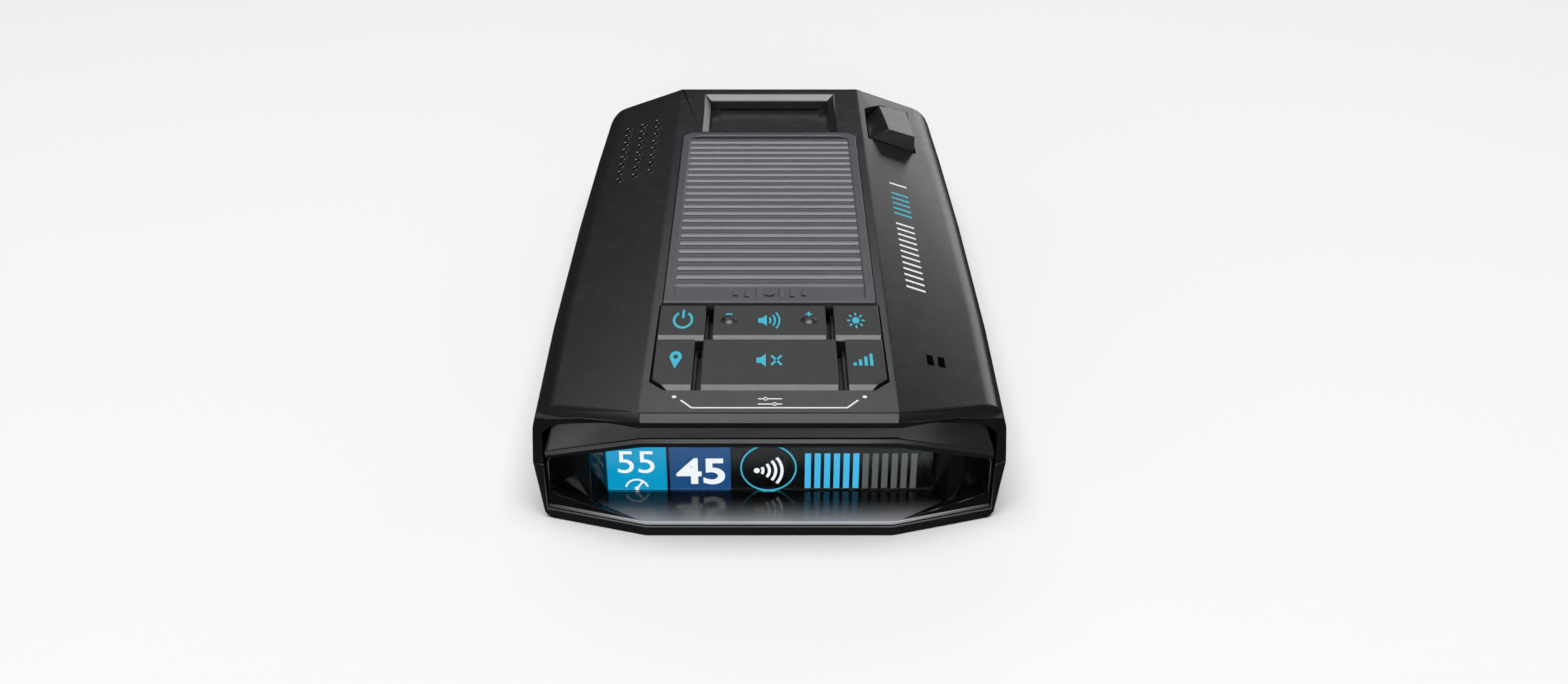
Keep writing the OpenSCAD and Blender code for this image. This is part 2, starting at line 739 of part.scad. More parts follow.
module horn_base() color("#b9bcc0") {
  difference() {
    box(horn_x - 12.8, horn_x + 12.8, horn_y0, horn_y1, 3.22, horn_split - 0.01);
    horn_space();
  }
}

module horn_cover() color("#b9bcc0") {
  difference() {
    box(horn_x - 12.8, horn_x + 12.8, horn_y0, horn_y1, horn_split + 0.01, 14.6);
    horn_space();
  }
}

module rf_board() color("#123a5c") box(-5, 17, 30, 56, 14.62, 15.4);

module rf_shield() color("#c4c8cc") {
  difference() {
    box(-4, 14.5, 31, 52, 15.42, 18.4);
    box(-3.6, 14.1, 31.4, 51.6, 15, 18.0);
  }
}

module laser_lens() color("#d8e6ee", 0.5) {
  translate([laser_x, 0, laser_z]) {
    translate([0, 62.5, 0]) rotate([90, 0, 0]) cylinder(r = 4.5, h = 1.2, $fn = 48);
    intersection() {
      translate([0, 56.3, 0]) sphere(r = 8.3, $fn = 64);
      translate([0, 66, 0]) rotate([90, 0, 0]) cylinder(r = 4.5, h = 3.5, $fn = 48);
    }
  }
}

module laser_sensor() color("#26292c") {
  box(laser_x - 5, laser_x + 5, 54.4, 55.6, wall + 0.02, 17);
  box(laser_x - 2, laser_x + 2, 55.6, 56.6, laser_z - 2, laser_z + 2);
}

module end_window() color("#1b0f12", 0.8) {
  box(-end_hw + 0.1, end_hw - 0.1, rear_y - 1.8, rear_y - 0.3, end_z0 + 0.1, end_z1 - 0.1);
  box(-end_hw - 0.4, end_hw + 0.4, rear_y - 3.4, rear_y - 2.55, end_z0 - 1, end_z1 + 0.3);
  box(-end_hw + 0.1, end_hw - 0.1, rear_y - 2.6, rear_y - 1.7, end_z0 + 0.1, end_z1 - 0.1);
}

// ---------- Speaker, laid out in a frame that lies on the left shoulder ----------

speaker_w = 13;
speaker_l = 31;
// Depth of the gasket's face under the outside of the shoulder
speaker_depth = wall + 0.65;

module speaker_frame() color("#2f3134") on_shoulder(speaker_x, speaker_y) {
  translate([0, 0, -speaker_depth - 4.6]) difference() {
    linear_extrude(3.5) stadium(speaker_w, speaker_l);
    translate([0, 0, 0.8]) linear_extrude(4) stadium(speaker_w - 2, speaker_l - 2);
    translate([0, 0, -1]) linear_extrude(4) stadium(speaker_w - 6, speaker_l - 8);
  }
}

module speaker_cone() color("#3d3a37") on_shoulder(speaker_x, speaker_y) {
  translate([0, 0, -speaker_depth - 3.3]) linear_extrude(0.4) stadium(speaker_w - 2.2, speaker_l - 2.2);
  translate([0, 0, -speaker_depth - 3.0]) cylinder(r = 2.6, h = 1.0);
}

module speaker_magnet() color("#b5b9bd") on_shoulder(speaker_x, speaker_y) {
  translate([0, 0, -speaker_depth - 7.1]) cylinder(r = 5.5, h = 2.45);
}

module speaker_gasket() color("#333333") on_shoulder(speaker_x, speaker_y) {
  translate([0, 0, -speaker_depth - 1.05]) linear_extrude(0.95) difference() {
    stadium(speaker_w, speaker_l);
    stadium(speaker_w - 2, speaker_l - 2);
  }
}

// ---------- Sockets ----------

socket_x0 = 24.1;
socket_x1 = 34.4;
nose_l = 3.3;

module power_jack() color("#1d1e20") {
  difference() {
    box(socket_x0, socket_x1, power_y - 6.3, power_y + 6.3, wall + 0.05, 10.4);
    box(socket_x0 + 3.2, 40, power_y - power_w / 2, power_y + power_w / 2, socket_z - power_h / 2,
      socket_z + power_h / 2);
  }
  for (k = [-1.5:1:1.5]) {
    box(socket_x0 + 3, socket_x1 - 3, power_y + k * 1.1 - 0.2, power_y + k * 1.1 + 0.2,
      socket_z - power_h / 2 - 0.1, socket_z - power_h / 2 + 0.5);
  }
}

module usb_port() color("#c4c8cc") {
  difference() {
    box(29, socket_x1 + nose_l, usb_y - 3.7, usb_y + 3.7, socket_z - 1.5, socket_z + 1.5);
    box(31, 40, usb_y - 3.4, usb_y + 3.4, socket_z - 1.2, socket_z + 1.2);
  }
  box(30, socket_x1 + 2, usb_y - 2.4, usb_y + 2.4, socket_z + 0.1, socket_z + 0.6);
  box(socket_x0, 29, usb_y - 3.7, usb_y + 3.7, socket_z - 1.5, socket_z + 3.4);
}

module earphone_jack() color("#1d1e20") {
  difference() {
    union() {
      box(socket_x0, socket_x1, ear_y - 3.1, ear_y + 3.1, socket_z - 3, socket_z + 3);
      translate([socket_x1 - 0.1, ear_y, socket_z]) rotate([0, 90, 0]) cylinder(r = 2.9, h = nose_l + 0.1);
    }
    translate([socket_x0 + 1, ear_y, socket_z]) rotate([0, 90, 0]) cylinder(r = ear_r, h = 20);
  }
}

// ---------- Mount release ----------

// Lever that is flush with the shoulder at its rear and stands proud at its front, with a flank
// that slopes down to the left
module lever_form() {
  // Slope of the lever's top against the shoulder, and how far back its front leans
  rise = 0.148;
  front_lean = 7;
  // Where the lever's top ends on the left, and where its blank starts, in front of the well
  top_edge = 24.9;
  long_y = 36;
  difference() {
    intersection() {
      on_shoulder(lever_x, 0) rotate([90, 0, 90]) translate([0, 0, -8]) linear_extrude(12)
        polygon([[lever_y1, -1.6], [lever_y1, 0.05], [long_y, 0.05 + (lever_y1 - long_y) * rise],
          [long_y, -2.2], [lever_y1 - 4.5, -2.2], [lever_y1 - 3, -4.4], [lever_y1 - 0.3, -3.6]]);
      translate([0, 0, 15]) linear_extrude(15) well_outline(-lever_gap);
    }
    // Flank
    on_shoulder(top_edge, 0) translate([0, lever_y1, 0.05]) rotate([-atan(rise), 0, 0])
      rotate([0, -45, 0]) translate([-10, -40, 0]) cube([10, 50, 10]);
    // Swept front that leans back
    translate([well_x1, well_y0 + lever_gap, shoulder_z(well_x1)]) rotate(-atan(lever_sweep))
      rotate([-front_lean, 0, 0]) translate([-20, -20, 0]) cube([30, 20, 20]);
  }
}

module release_lever() color("#1d1e20") {
  foot_z = 19.8;
  foot_top = 22.7;
  foot_x0 = 25.9;
  difference() {
    union() {
      difference() {
        lever_form();
        // Room for the latch's ramp
        box(foot_x0 + 1, 32, latch_y0 - 0.5, latch_y1 + 0.5, 15, foot_top - 0.2);
      }
      translate([lever_x - lever_hw, lever_pivot_y, lever_pivot_z]) rotate([0, 90, 0])
        cylinder(r = 1.6, h = 2 * lever_hw);
      along_y(latch_y0 + 0.4, latch_y1 - 0.4) polygon([[foot_x0, foot_top],
        [ramp_top_x - ramp_gap + (foot_top - ramp_top_z) * ramp_run, foot_top],
        [ramp_top_x - ramp_gap + (foot_z - ramp_top_z) * ramp_run, foot_z], [foot_x0, foot_z]]);
    }
    translate([20, lever_pivot_y, lever_pivot_z]) rotate([0, 90, 0])
      cylinder(r = lever_pin_r + post_clear, h = 20);
  }
}

module lever_pin() color("silver") {
  translate([21.0, lever_pivot_y, lever_pivot_z]) rotate([0, 90, 0])
    cylinder(r = lever_pin_r - eps, h = 10.95);
}

// Bent leaf that pushes the lever up, at the height that the fully pressed lever leaves it
module lever_spring() color("#c79a4a") {
  leaf_t = 0.25;
  foot_y = 57.6;
  bend_y = 50.2;
  tip_y = 54.6;
  tip_z = 19.8;
  low_z = well_floor + 0.02;
  along = [[foot_y, low_z], [bend_y, low_z], [tip_y, tip_z], [tip_y + 0.3, tip_z - 0.1],
    [bend_y + 0.5, low_z + leaf_t], [foot_y, low_z + leaf_t]];
  translate([lever_x - 1.5, 0, 0]) rotate([90, 0, 90]) linear_extrude(3) polygon(along);
}

// Latch that catches the mount: tongue in the pocket, leg down, slide and ramp under the lever
module mount_latch() color("#8e9297") {
  slide_z0 = well_floor + 0.3;
  slide_z1 = well_floor + 1.3;
  along_y(latch_y0, latch_y1) polygon([[12.2, pocket_floor + 0.4], [12.9, pocket_floor + 1.6],
    [17.8, pocket_floor + 1.6], [17.8, slide_z1],
    [ramp_top_x - (ramp_top_z - slide_z1) * ramp_run, slide_z1], [ramp_top_x, ramp_top_z],
    [29.4, ramp_top_z], [29.4, slide_z0], [16.6, slide_z0], [16.6, pocket_floor + 0.4]]);
}

module mount_magnets() color("#aab0b6") {
  for (x = [-7, 7]) translate([x, 54, pocket_floor - 2]) cylinder(r = 4, h = 1.25);
}

// ---------- Fasteners and label ----------

module case_screws() color("#9aa0a6") {
  for (p = screw_spots) translate([p[0], p[1], 0]) difference() {
    union() {
      translate([0, 0, 1.2]) cylinder(r = 2.4, h = 1.38);
      cylinder(r = screw_r, h = 13.5);
    }
    translate([0, 0, -1]) cylinder(r = 3, h = 2.2);
    for (a = [0, 90]) rotate(a) translate([0, 0, 1.4]) cube([2.6, 0.6, 0.9], center = true);
  }
}

module board_screws() color("#9aa0a6") {
  for (p = board_screw_spots) translate([p[0], p[1], 0]) difference() {
    union() {
      translate([0, 0, 4.5]) cylinder(r = 1, h = 6);
      translate([0, 0, board_z + board_t + 0.01]) cylinder(r = 2, h = 1.3);
    }
    for (a = [0, 90]) rotate(a) translate([0, 0, board_z + board_t + 1.2]) {
      cube([2.2, 0.5, 0.7], center = true);
    }
  }
}

module rating_label() color("#c9cdd1") {
  translate([0, -4, 0.1]) linear_extrude(0.24) rounded_rect(46, 26, 1.5);
}

upper_shell();
lower_shell();
display_hood();
display_bezel();
display_lens();
lcd_panel();
lcd_backlight();
lcd_flex();
gps_cover();
gps_antenna();
gps_board();
main_board();
processor();
memory_chip();
bluetooth_module();
backup_capacitor();
capacitors();
board_connectors();
light_sensor();
light_pipe();
key_board();
key_switches();
key_leds();
key_frame();
key_power();
key_volume();
volume_pin();
key_brightness();
key_mark();
key_mute();
key_sensitivity();
horn_base();
horn_cover();
rf_board();
rf_shield();
laser_lens();
laser_sensor();
end_window();
speaker_frame();
speaker_cone();
speaker_magnet();
speaker_gasket();
power_jack();
earphone_jack();
usb_port();
release_lever();
lever_pin();
lever_spring();
mount_latch();
mount_magnets();
case_screws();
board_screws();
rating_label();
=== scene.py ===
"""Looks of the windscreen radar detector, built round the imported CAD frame. Lengths are metres."""

import json
import math

import bmesh
import bpy
from mathutils import Matrix, Vector
from mathutils.bvhtree import BVHTree


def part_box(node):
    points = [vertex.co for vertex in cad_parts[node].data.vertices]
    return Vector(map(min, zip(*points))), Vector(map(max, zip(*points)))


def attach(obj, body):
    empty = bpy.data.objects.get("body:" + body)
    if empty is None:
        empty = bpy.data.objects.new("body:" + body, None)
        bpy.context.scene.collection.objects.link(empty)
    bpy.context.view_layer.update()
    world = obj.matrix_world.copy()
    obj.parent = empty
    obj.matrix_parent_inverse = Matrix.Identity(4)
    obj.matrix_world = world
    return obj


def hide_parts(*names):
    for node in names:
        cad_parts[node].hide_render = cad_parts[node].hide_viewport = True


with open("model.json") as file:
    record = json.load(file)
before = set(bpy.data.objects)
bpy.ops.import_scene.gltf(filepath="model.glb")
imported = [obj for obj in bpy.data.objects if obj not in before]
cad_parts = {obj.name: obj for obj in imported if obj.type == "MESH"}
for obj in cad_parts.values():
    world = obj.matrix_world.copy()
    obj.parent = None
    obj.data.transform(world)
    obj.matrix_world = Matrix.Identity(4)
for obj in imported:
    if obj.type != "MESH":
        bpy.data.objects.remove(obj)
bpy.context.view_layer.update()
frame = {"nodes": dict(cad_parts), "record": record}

MM = 0.001
PLATEAU_Z = 25.0  # mm, top of the case
PLATEAU_X = 20.2  # mm, from the middle to the plateau's side edges
SLOPE = 0.2257  # fall of the shoulders for each mm outwards
CREASE = 0.3 * MM  # rounding of the plateau's shallow creases
LIP_EDGE = 0.55 * MM
CASE_EDGE = 0.15 * MM
KEY_EDGE = 0.12 * MM
NODES = frame["nodes"]
BODY_OF = {n: b for b, members in frame["record"]["behaviour"]["bodies"].items() for n in members}
SLOT_OF = {n: o.data.materials[0].name for n, o in NODES.items()}


# ---------- Materials ----------


def srgb(code):
    """Linear colour of a six-digit hex code."""
    parts = [int(code[k:k + 2], 16) / 255 for k in (0, 2, 4)]
    return tuple(c / 12.92 if c <= 0.04045 else ((c + 0.055) / 1.055) ** 2.4 for c in parts)


class Look:
    """A node material on the principled shader, with the node patterns that the finishes share."""

    def __init__(self, name, colour, rough, **fixed):
        self.material = bpy.data.materials.new("look_" + name)
        self.material.use_nodes = True
        self.tree = self.material.node_tree
        self.shader = self.tree.nodes["Principled BSDF"]
        self.put("Base Color", (*colour, 1))
        self.put("Roughness", rough)
        for key, value in fixed.items():
            self.put(key.replace("_", " "), value)
        self.place = self.add("ShaderNodeTexCoord").outputs["Object"]
        self.normal = None

    def put(self, socket, value):
        self.shader.inputs[socket].default_value = value

    def add(self, kind, **settings):
        node = self.tree.nodes.new(kind)
        for key, value in settings.items():
            setattr(node, key, value)
        return node

    def link(self, start, end):
        self.tree.links.new(start, end)

    def stretched(self, stretch):
        if stretch == (1, 1, 1):
            return self.place
        mapping = self.add("ShaderNodeMapping")
        mapping.inputs["Scale"].default_value = stretch
        self.link(self.place, mapping.inputs["Vector"])
        return mapping.outputs["Vector"]

    def noise(self, size, detail=2.0, stretch=(1, 1, 1)):
        """Noise whose features are about size metres across."""
        texture = self.add("ShaderNodeTexNoise")
        texture.inputs["Scale"].default_value = 1 / size
        texture.inputs["Detail"].default_value = detail
        self.link(self.stretched(stretch), texture.inputs["Vector"])
        return texture.outputs["Fac"]

    def cells(self, size, feature="F1", stretch=(1, 1, 1)):
        texture = self.add("ShaderNodeTexVoronoi", feature=feature)
        texture.inputs["Scale"].default_value = 1 / size
        self.link(self.stretched(stretch), texture.inputs["Vector"])
        return texture.outputs["Distance"]

    def axis(self, name):
        split = self.add("ShaderNodeSeparateXYZ")
        self.link(self.place, split.inputs[0])
        return split.outputs[name]

    def span(self, value, low, high, out_low=0.0, out_high=1.0):
        ranged = self.add("ShaderNodeMapRange")
        for key, number in zip(("From Min", "From Max", "To Min", "To Max"),
                               (low, high, out_low, out_high)):
            ranged.inputs[key].default_value = number
        self.link(value, ranged.inputs["Value"])
        return ranged.outputs["Result"]

    def maths(self, operation, a, b):
        node = self.add("ShaderNodeMath", operation=operation)
        for socket, value in zip(node.inputs, (a, b)):
            if isinstance(value, (int, float)):
                socket.default_value = value
            else:
                self.link(value, socket)
        return node.outputs[0]

    def blend(self, factor, first, second):
        """Colour between two, each a colour or an output."""
        mix = self.add("ShaderNodeMix", data_type="RGBA")
        self.link(factor, mix.inputs["Factor"])
        for socket, value in ((mix.inputs[6], first), (mix.inputs[7], second)):
            if isinstance(value, tuple):
                socket.default_value = (*value, 1)
            else:
                self.link(value, socket)
        return mix.outputs[2]

    def tint(self, colour):
        self.link(colour, self.shader.inputs["Base Color"])
        return self

    def roughness(self, value):
        self.link(value, self.shader.inputs["Roughness"])
        return self

    def bump(self, height, depth, strength=1.0):
        node = self.add("ShaderNodeBump")
        node.inputs["Strength"].default_value = strength
        node.inputs["Distance"].default_value = depth
        self.link(height, node.inputs["Height"])
        if self.normal is not None:
            self.link(self.normal, node.inputs["Normal"])
        self.normal = node.outputs["Normal"]
        self.link(self.normal, self.shader.inputs["Normal"])
        return self

    def edges(self, radius):
        """1 on edges, 0 on flats. The plastics pale their colour there, partly as rubbed wear and partly as
        a painted edge highlight.
        """
        bevel = self.add("ShaderNodeBevel", samples=4)
        bevel.inputs["Radius"].default_value = radius
        facing = self.add("ShaderNodeNewGeometry").outputs["Normal"]
        dot = self.add("ShaderNodeVectorMath", operation="DOT_PRODUCT")
        self.link(bevel.outputs["Normal"], dot.inputs[0])
        self.link(facing, dot.inputs[1])
        return self.span(dot.outputs["Value"], 0.99, 0.86)


def plastic(name, colour, rough, grain=0.22 * MM, depth=0.004 * MM, edge_wear_and_sheen=None, **fixed):
    """Moulded plastic: fine grain, cloudy gloss and slightly polished edges, whose paler colour is partly
    rubbed wear and partly a painted edge highlight.
    """
    look = Look(name, colour, rough, **fixed)
    pale = tuple(min(1, c * 1.5 + 0.003) for c in colour)
    clouds = look.noise(9 * MM, 3)
    tone = look.blend(look.span(clouds, 0.35, 0.7), colour, tuple(c * 0.86 for c in colour))
    gloss = look.span(look.noise(3.5 * MM, 3), 0.3, 0.7, rough - 0.015, rough + 0.02)
    # paler edges: partly rubbed wear, partly a painted highlight where the edges catch the light
    if edge_wear_and_sheen:
        mask = look.maths("MULTIPLY", look.edges(edge_wear_and_sheen), look.span(look.noise(1.4 * MM, 3), 0.3, 0.6))
        tone = look.blend(mask, tone, pale)
        gloss = look.maths("SUBTRACT", gloss, look.maths("MULTIPLY", mask, 0.08))
    look.tint(tone).roughness(gloss)
    look.bump(look.noise(grain, 2), depth, 0.5)
    return look.material


def metal(name, colour, rough, brush=(1, 1, 1), grain=0.15 * MM, depth=0.006 * MM):
    """Bare metal: brushed or cast, with dull patches."""
    look = Look(name, colour, rough, Metallic=1.0)
    dull = look.span(look.noise(3 * MM, 4), 0.35, 0.7)
    look.tint(look.blend(dull, colour, tuple(c * 0.7 for c in colour)))
    streaks = look.noise(grain, 3, brush)
    look.roughness(look.span(streaks, 0.3, 0.7, rough * 0.8, rough * 1.3))
    look.bump(streaks, depth, 0.6)
    return look.material


def circuit(name, mask):
    """Circuit board: solder mask over a web of traces, with small bright pads."""
    look = Look(name, mask, 0.38)
    web = look.span(look.cells(1.6 * MM, "DISTANCE_TO_EDGE"), 0.04, 0.09)
    dark = tuple(c * 0.55 for c in mask)
    base = look.blend(web, tuple(min(1, c * 1.7) for c in mask), dark)
    pads = look.span(look.cells(2.3 * MM), 0.13, 0.10)
    look.tint(look.blend(pads, base, srgb("C9B56A")))
    look.roughness(look.span(pads, 0, 1, 0.38, 0.25))
    look.bump(look.maths("SUBTRACT", look.maths("ADD", pads, 1), web), 0.03 * MM, 0.5)
    return look.material


def glow(name, code, strength):
    """Lit area of the display: a fine pixel grid over its own light."""
    colour = srgb(code)
    look = Look(name, tuple(c * 0.2 for c in colour), 0.3)
    grid = look.maths("MULTIPLY", look.span(look.noise(0.09 * MM, 1), 0.35, 0.6, 0.93, 1.0),
                      look.span(look.axis("Z"), 2 * MM, 13 * MM, 1.02, 0.96))
    lit = look.blend(grid, (0, 0, 0), colour)
    look.link(lit, look.shader.inputs["Emission Color"])
    look.put("Emission Strength", strength)
    return look.material


def print_ink(name, code, strength=0.0):
    """Pad-printed ink: slightly uneven cover, semi-matt, with a faint painted glow of its own colour where
    strength is given.
    """
    colour = srgb(code)
    look = Look(name, colour, 0.45)
    uneven = look.span(look.noise(0.35 * MM, 3), 0.3, 0.7)
    tone = look.blend(uneven, tuple(c * 0.84 for c in colour), colour)
    look.tint(tone)
    look.bump(look.noise(0.12 * MM, 2), 0.004 * MM, 0.4)
    # painted glow: the ink gives off a little light of its own colour, with no lamp behind it
    if strength:
        look.link(tone, look.shader.inputs["Emission Color"])
        look.put("Emission Strength", strength)
    return look.material


def glass(name, colour, rough, ior, through=1.0):
    look = Look(name, colour, rough, IOR=ior, Transmission_Weight=through)
    look.roughness(look.span(look.noise(4 * MM, 3), 0.35, 0.7, rough, rough + 0.02))
    return look.material


def funnel(name):
    """Black funnel round the display, with a satin floor whose colour holds painted light: it pales towards
    its front edge, where light reaches it under the hood.
    """
    look = Look(name, srgb("08090A"), 0.13)
    on_floor = look.span(look.axis("Z"), 2.62 * MM, 2.46 * MM)
    # painted light: the floor's colour pales from dark to light grey towards its front edge, standing in
    # for the light that falls there
    painted_light_to_front = look.maths("POWER", look.span(look.axis("Y"), -59.0 * MM, -65.8 * MM), 1.7)
    painted_lit_floor = look.blend(painted_light_to_front, srgb("17181A"), srgb("A2A4A7"))
    streaks = look.span(look.noise(1.6 * MM, 3, (0.3, 1, 1)), 0.3, 0.7)
    painted_lit_floor = look.blend(look.maths("MULTIPLY", streaks, 0.12), painted_lit_floor, srgb("2C2E30"))
    look.tint(look.blend(on_floor, srgb("08090A"), painted_lit_floor))
    gloss = look.maths("MULTIPLY", on_floor, look.maths("MULTIPLY", painted_light_to_front, 0.22))
    look.roughness(look.maths("ADD", gloss, 0.12))
    look.bump(look.noise(0.3 * MM, 2), 0.002 * MM, 0.3)
    return look.material


def panel_black(name):
    """Dark display face with a faint pixel pattern in its gloss."""
    look = Look(name, srgb("040506"), 0.25)
    pixels = look.cells(0.14 * MM)
    look.roughness(look.span(pixels, 0.1, 0.6, 0.22, 0.30))
    look.tint(look.blend(pixels, srgb("030405"), srgb("060708")))
    return look.material


def wound_paper(name):
    look = Look(name, srgb("3D3A37"), 0.9)
    fibres = look.noise(0.25 * MM, 5, (1, 0.25, 1))
    look.tint(look.blend(fibres, srgb("2A2826"), srgb("4C4844")))
    look.bump(fibres, 0.05 * MM, 0.8)
    return look.material


def foam(name):
    look = Look(name, srgb("2B2B2C"), 0.95)
    pores = look.cells(0.5 * MM)
    look.tint(look.blend(pores, srgb("161616"), srgb("3A3A3B")))
    look.bump(pores, 0.15 * MM, 0.9)
    return look.material


def label_stock(name):
    """Silvered polyester label with faint roller lines."""
    look = Look(name, srgb("B9BDC1"), 0.38, Metallic=0.6)
    lines = look.noise(0.1 * MM, 2, (1, 0.02, 1))
    look.roughness(look.span(lines, 0.3, 0.7, 0.33, 0.44))
    look.tint(look.blend(look.noise(8 * MM, 2), srgb("B2B6BA"), srgb("C6CACD")))
    look.bump(lines, 0.003 * MM, 0.3)
    return look.material


LOOKS = {
    "case_top": plastic("case_top", srgb("0D0E10"), 0.26, edge_wear_and_sheen=0.35 * MM),
    "case_bottom": plastic("case_bottom", srgb("0C0D0F"), 0.38, edge_wear_and_sheen=0.35 * MM),
    "hood": plastic("hood", srgb("131416"), 0.3, edge_wear_and_sheen=0.3 * MM),
    "bezel_gloss": funnel("bezel_gloss"),
    "display_glass": glass("display_glass", srgb("F2F6F8"), 0.01, 1.15),
    "lcd": panel_black("lcd"),
    "sheet_steel": metal("sheet_steel", srgb("C3C6C9"), 0.3, (1, 8, 1)),
    "flex": plastic("flex", srgb("A8652A"), 0.35, grain=0.5 * MM),
    "cover_grey": plastic("cover_grey", srgb("333438"), 0.34, grain=0.18 * MM, edge_wear_and_sheen=0.2 * MM),
    "ceramic": plastic("ceramic", srgb("C9BD9A"), 0.6, grain=0.4 * MM, depth=0.02 * MM),
    "circuit_board": circuit("circuit_board", srgb("14532D")),
    "circuit_board_blue": circuit("circuit_board_blue", srgb("123A5C")),
    "chip_black": plastic("chip_black", srgb("1A1B1D"), 0.55, grain=0.1 * MM, depth=0.01 * MM),
    "capacitor_sleeve": plastic("capacitor_sleeve", srgb("C9A22E"), 0.3, grain=1.2 * MM),
    "capacitor_can": metal("capacitor_can", srgb("B9BDC2"), 0.25),
    "connector_ivory": plastic("connector_ivory", srgb("DAD3BF"), 0.45),
    "clear_plastic": glass("clear_plastic", srgb("EDF3F5"), 0.08, 1.49),
    "led": plastic("led", srgb("DCEFF5"), 0.3, grain=0.3 * MM),
    "frame_plastic": plastic("frame_plastic", srgb("2A2B2E"), 0.5),
    "key_black": plastic("key_black", srgb("0E0F11"), 0.40, grain=0.18 * MM, edge_wear_and_sheen=0.22 * MM),
    "steel_pin": metal("steel_pin", srgb("C8CBCE"), 0.18, (1, 6, 6)),
    "cast_zinc": metal("cast_zinc", srgb("A9ACB0"), 0.45, (1, 1, 1), 0.5 * MM, 0.03 * MM),
    "smoked_window": plastic("smoked_window", srgb("12060A"), 0.08, grain=1.5 * MM, depth=0.001 * MM),
    "cone_paper": wound_paper("cone_paper"),
    "magnet_steel": metal("magnet_steel", srgb("AEB3B8"), 0.3, (6, 1, 1)),
    "gasket_foam": foam("gasket_foam"),
    "socket_black": plastic("socket_black", srgb("17181A"), 0.45),
    "lever_black": plastic("lever_black", srgb("0A0B0C"), 0.28, edge_wear_and_sheen=0.3 * MM),
    "spring_bronze": metal("spring_bronze", srgb("B98A45"), 0.3, (1, 6, 1)),
    "latch_steel": plastic("latch_steel", srgb("2A2B2D"), 0.5, grain=0.3 * MM, Metallic=0.4),
    "screw_steel": metal("screw_steel", srgb("6E7276"), 0.35),
    "label_silver": label_stock("label_silver"),
}
for node, thing in NODES.items():
    thing.material_slots[0].material = LOOKS[SLOT_OF[node]]

# teal ink with a faint painted glow
INK_TEAL = print_ink("ink_teal", "1F8FA3", 0.04)
INK_WHITE = print_ink("ink_white", "BEC0C2", 0.0)


# ---------- Refined copies of the CAD pieces ----------


def finish_mesh(piece, smooth_angle):
    """Smooth shading, with the edges that turn more than smooth_angle degrees kept sharp."""
    mesh = piece.data
    bm = bmesh.new()
    bm.from_mesh(mesh)
    for edge in bm.edges:
        turn = edge.calc_face_angle(math.pi) if len(edge.link_faces) == 2 else math.pi
        edge.smooth = turn < math.radians(smooth_angle)
    for face in bm.faces:
        face.smooth = True
    bm.to_mesh(mesh)
    bm.free()


def refine(node, width, min_len=1.2, min_angle=26, smooth=38, pick=None, segments=2, split=False):
    """A copy of a CAD node with its outer convex edges rounded. It stands for the node.
    pick(edge, middle, turn) may give an edge's own width in metres, 0 for none, or None for the rule."""
    source = NODES[node]
    bm = bmesh.new()
    bm.from_mesh(source.data)
    bmesh.ops.remove_doubles(bm, verts=bm.verts, dist=0.002 * MM)
    bmesh.ops.dissolve_limit(bm, angle_limit=math.radians(0.5), verts=bm.verts, edges=bm.edges)
    if split:
        bmesh.ops.triangulate(bm, faces=[f for f in bm.faces if len(f.verts) > 4], ngon_method="EAR_CLIP")
    bm.normal_update()
    tree = BVHTree.FromBMesh(bm)
    weights = bm.edges.layers.float.new("bevel_weight_edge")
    widest = 0.6 * MM
    for edge in bm.edges:
        if len(edge.link_faces) != 2:
            continue
        turn = math.degrees(edge.calc_face_angle(0))
        middle = (edge.verts[0].co + edge.verts[1].co) / 2
        chosen = pick(edge, middle / MM, turn) if pick else None
        if chosen is None:
            chosen = 0
            if edge.is_convex and turn > min_angle and edge.calc_length() > min_len * MM:
                out = (edge.link_faces[0].normal + edge.link_faces[1].normal).normalized()
                if tree.ray_cast(middle + out * 0.05 * MM, out)[0] is None:
                    chosen = width
        edge[weights] = chosen / widest
    mesh = bpy.data.meshes.new(node + "_finished")
    bm.to_mesh(mesh)
    bm.free()
    piece = bpy.data.objects.new(node + "_finished", mesh)
    bpy.context.scene.collection.objects.link(piece)
    mesh.materials.append(LOOKS[SLOT_OF[node]])
    finish_mesh(piece, smooth)
    bevel = piece.modifiers.new("rounded edges", "BEVEL")
    bevel.limit_method = "WEIGHT"
    bevel.width = widest
    bevel.segments = segments
    bevel.use_clamp_overlap = False
    bevel.miter_outer = "MITER_SHARP"
    weighted = piece.modifiers.new("flat faces", "WEIGHTED_NORMAL")
    weighted.keep_sharp = True
    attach(piece, BODY_OF[node])
    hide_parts(node)


def case_edge(edge, middle, turn):
    x, y, z = middle
    if z > 24.4 and 8 < turn < 20 and edge.is_convex:
        return CREASE
    if y > 49 and abs(x) > 20 and z < 24 and 8 < turn < 16:
        return 0
    return None


refine("upper_shell", CASE_EDGE, pick=case_edge)
refine("lower_shell", CASE_EDGE, split=True)


def hood_edge(edge, middle, turn):
    x, y, z = middle
    on_lip = y < -61 and z < 19.2
    long_and_sharp = edge.is_convex and turn > 30 and edge.calc_length() > 8 * MM
    return LIP_EDGE if on_lip and long_and_sharp else None


refine("display_hood", 0.2 * MM, pick=hood_edge)
refine("display_bezel", KEY_EDGE, split=True)


def cover_edge(edge, middle, turn):
    x, y, z = middle
    return 0 if abs(x) < 16.9 and y > -28.2 and z < 25.5 else None


refine("gps_cover", 0.14 * MM, smooth=50, pick=cover_edge)
for key in ("power", "volume", "brightness", "mark", "mute", "sensitivity"):
    refine("key_" + key, KEY_EDGE, min_len=0.8)
refine("release_lever", CASE_EDGE, min_len=0.8, split=True)
refine("end_window", CASE_EDGE)


# ---------- Small moulded details ----------


